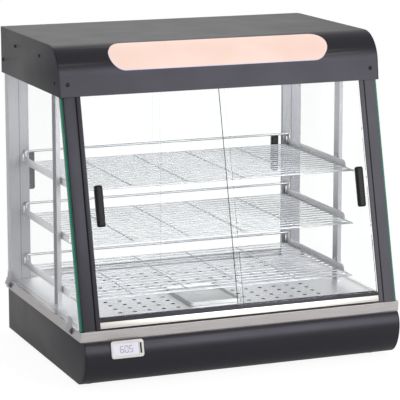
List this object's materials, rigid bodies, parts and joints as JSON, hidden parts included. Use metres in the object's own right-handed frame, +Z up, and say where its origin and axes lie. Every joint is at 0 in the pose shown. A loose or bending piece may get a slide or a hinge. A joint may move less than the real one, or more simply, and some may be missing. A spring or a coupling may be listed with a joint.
{
  "type": "heated display case",
  "caption": "Glazed countertop warming cabinet with wire shelves on a heated base, under a rounded hood with a lit window, with sliding doors at front and back",
  "frame": {"origin": "on the ground, under the middle of the part's bounding box", "axes": "+X to the viewer's right along the front, +Y to the back, +Z up"},
  "size_m": [0.673, 0.5086, 0.633],
  "materials": {
    "black_paint": "satin black stove paint",
    "stainless": "brushed stainless steel",
    "polished_steel": "bright polished stainless steel",
    "grey_metal": "plain grey metal",
    "chrome_wire": "bright chrome plate",
    "black_track": "matt black anodised profile",
    "black_plastic": "smooth black moulding",
    "rubber": "matt black rubber",
    "glass": "clear toughened glass, green edge",
    "heater_steel": "heat-darkened steel sheath",
    "white_enamel": "white enamel",
    "diffuser": "warm-lit opal diffuser",
    "silver_plastic": "silver-white moulding",
    "screen": "pale display window",
    "red_plastic": "translucent red",
    "copper": "drawn copper"
  },
  "bodies": {
    "case": {"base_chassis": "black_paint", "base_front_cover": "black_paint", "base_side_left": "black_paint", "base_side_right": "black_paint", "cable_gland": "black_plastic", "ceiling_plate": "stainless", "floor_plate": "stainless", "foot_front_left": "rubber", "foot_front_right": "rubber", "foot_rear_left": "rubber", "foot_rear_right": "rubber", "front_post_left": "black_track", "front_post_right": "black_track", "front_sill": "polished_steel", "front_track_bottom": "black_track", "front_track_top": "black_track", "glass_clip_front_left": "chrome_wire", "glass_clip_front_right": "chrome_wire", "glass_clip_rear_left": "chrome_wire", "glass_clip_rear_right": "chrome_wire", "heater_bracket": "stainless", "heater_left": "heater_steel", "heater_right": "heater_steel", "hood_cover": "black_paint", "hood_side_left": "black_paint", "hood_side_right": "black_paint", "lamp_reflector": "white_enamel", "light_driver": "white_enamel", "light_strip": "white_enamel", "light_switch_body": "black_plastic", "light_window": "diffuser", "mid_upright_left": "grey_metal", "mid_upright_right": "grey_metal", "power_switch_body": "black_plastic", "rear_post_left": "stainless", "rear_post_right": "stainless", "rear_track_bottom": "black_track", "rear_track_top": "black_track", "side_glass_left": "glass", "side_glass_right": "glass", "thermometer_body": "silver_plastic", "thermometer_screen": "screen", "thermostat_body": "grey_metal", "thermostat_bulb": "copper", "trim_frame": "stainless"},
    "front_door_left_body": {"front_door_left": "glass", "front_handle_left": "black_plastic"},
    "front_door_right_body": {"front_door_right": "glass", "front_handle_right": "black_plastic"},
    "rear_door_left_body": {"rear_door_left": "glass", "rear_handle_left": "black_plastic"},
    "rear_door_right_body": {"rear_door_right": "glass", "rear_handle_right": "black_plastic"},
    "shelf_bottom_body": {"shelf_bottom": "chrome_wire"},
    "shelf_middle_body": {"shelf_middle": "chrome_wire"},
    "shelf_top_body": {"shelf_top": "chrome_wire"},
    "water_pan_body": {"water_pan": "stainless"},
    "thermostat_knob_body": {"thermostat_knob": "black_plastic"},
    "power_rocker_body": {"power_rocker": "red_plastic"},
    "light_rocker_body": {"light_rocker": "black_plastic"}
  },
  "joints": [
    {"name": "front_door_left_slide", "type": "slide", "parent": "case", "child": "front_door_left_body", "axis": [1, 0, 0], "range_m": [0, 0.25]},
    {"name": "front_door_right_slide", "type": "slide", "parent": "case", "child": "front_door_right_body", "axis": [1, 0, 0], "range_m": [-0.25, 0]},
    {"name": "rear_door_left_slide", "type": "slide", "parent": "case", "child": "rear_door_left_body", "axis": [1, 0, 0], "range_m": [0, 0.25]},
    {"name": "rear_door_right_slide", "type": "slide", "parent": "case", "child": "rear_door_right_body", "axis": [1, 0, 0], "range_m": [-0.25, 0]},
    {"name": "shelf_bottom_lift", "type": "slide", "parent": "case", "child": "shelf_bottom_body", "axis": [0, 0, 1], "range_m": [0, 0.0075]},
    {"name": "shelf_middle_lift", "type": "slide", "parent": "case", "child": "shelf_middle_body", "axis": [0, 0, 1], "range_m": [0, 0.0075]},
    {"name": "shelf_top_lift", "type": "slide", "parent": "case", "child": "shelf_top_body", "axis": [0, 0, 1], "range_m": [0, 0.0075]},
    {"name": "water_pan_lift", "type": "slide", "parent": "case", "child": "water_pan_body", "axis": [0, 0, 1], "range_m": [0, 0.015]},
    {"name": "thermostat_knob_turn", "type": "hinge", "parent": "case", "child": "thermostat_knob_body", "pos_m": [0.19, 0.24025, 0.053], "axis": [0, 1, 0], "range_deg": [0, 270]},
    {"name": "power_rocker_tip", "type": "hinge", "parent": "case", "child": "power_rocker_body", "pos_m": [0.11, 0.24025, 0.053], "axis": [1, 0, 0], "range_deg": [-20, 0]},
    {"name": "light_rocker_tip", "type": "hinge", "parent": "case", "child": "light_rocker_body", "pos_m": [0.076, 0.24025, 0.053], "axis": [1, 0, 0], "range_deg": [-20, 0]}
  ]
}
